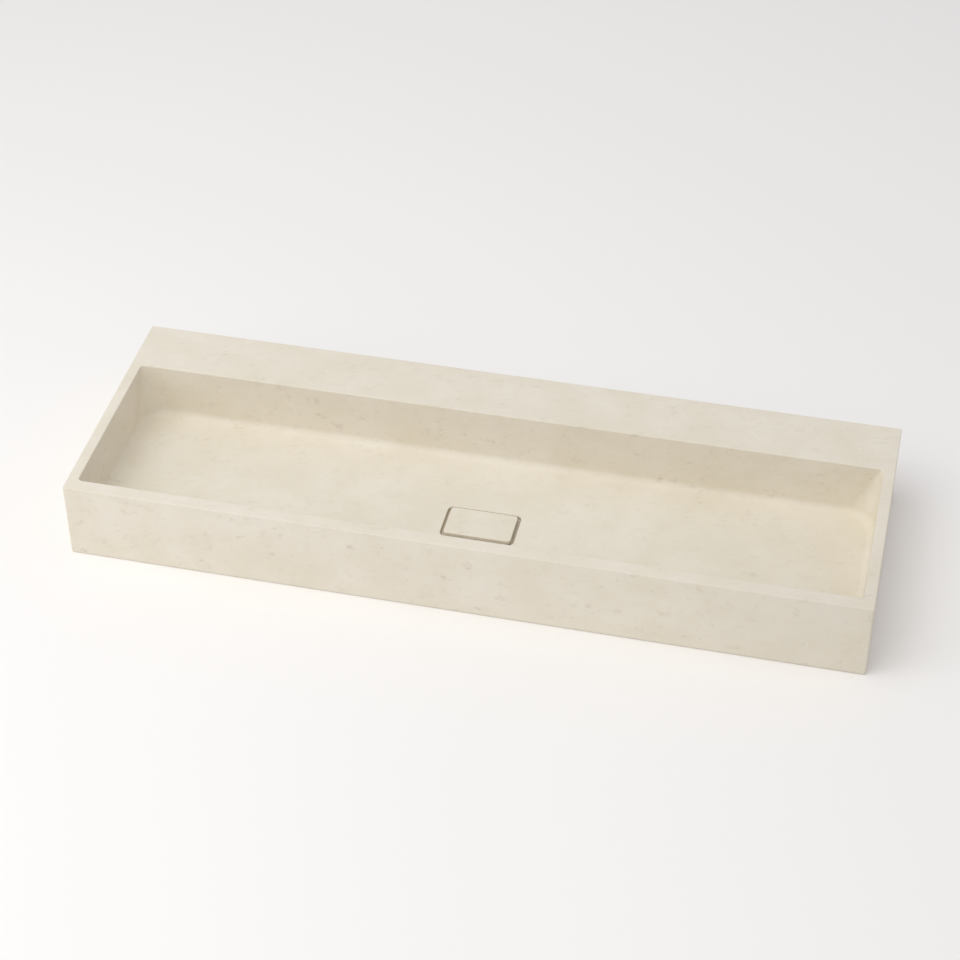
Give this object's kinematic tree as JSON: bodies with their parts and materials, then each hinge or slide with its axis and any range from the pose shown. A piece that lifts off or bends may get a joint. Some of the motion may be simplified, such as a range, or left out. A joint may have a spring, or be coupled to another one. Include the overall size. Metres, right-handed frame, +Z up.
{
  "type": "washbasin",
  "caption": "Long shallow wall-hung washbasin carved from pale limestone, with a rear ledge and a hidden waste under a lift-out stone cover.",
  "frame": {"origin": "middle of the underside, on the surface that the basin rests on", "axes": "+X along the basin, to the user's right; +Y from the user towards the wall; +Z up"},
  "size_m": [1.2, 0.412, 0.128],
  "materials": {
    "limestone": "matte honed",
    "silicone": "translucent matte",
    "stainless_steel": "satin",
    "black_rubber": "matte",
    "outlet_brass": "plated",
    "bracket_steel": "zinc grey",
    "zinc_steel": "zinc plated",
    "insert_brass": "turned"
  },
  "bodies": {
    "basin": {"basin_block": "limestone", "waste_flange": "stainless_steel", "flange_gasket": "black_rubber", "waste_screw": "stainless_steel", "outlet_body": "outlet_brass", "outlet_gasket": "black_rubber", "left_bracket": "bracket_steel", "right_bracket": "bracket_steel", "bracket_cushions": "black_rubber", "bracket_bolts": "zinc_steel", "bracket_washers": "zinc_steel", "threaded_inserts": "insert_brass"},
    "cover": {"waste_cover": "limestone", "cover_feet": "silicone"}
  },
  "joints": [
    {"name": "cover_lift", "type": "slide", "parent": "basin", "child": "cover", "axis": [0, 0, 1], "range_m": [0, 0.12]}
  ]
}
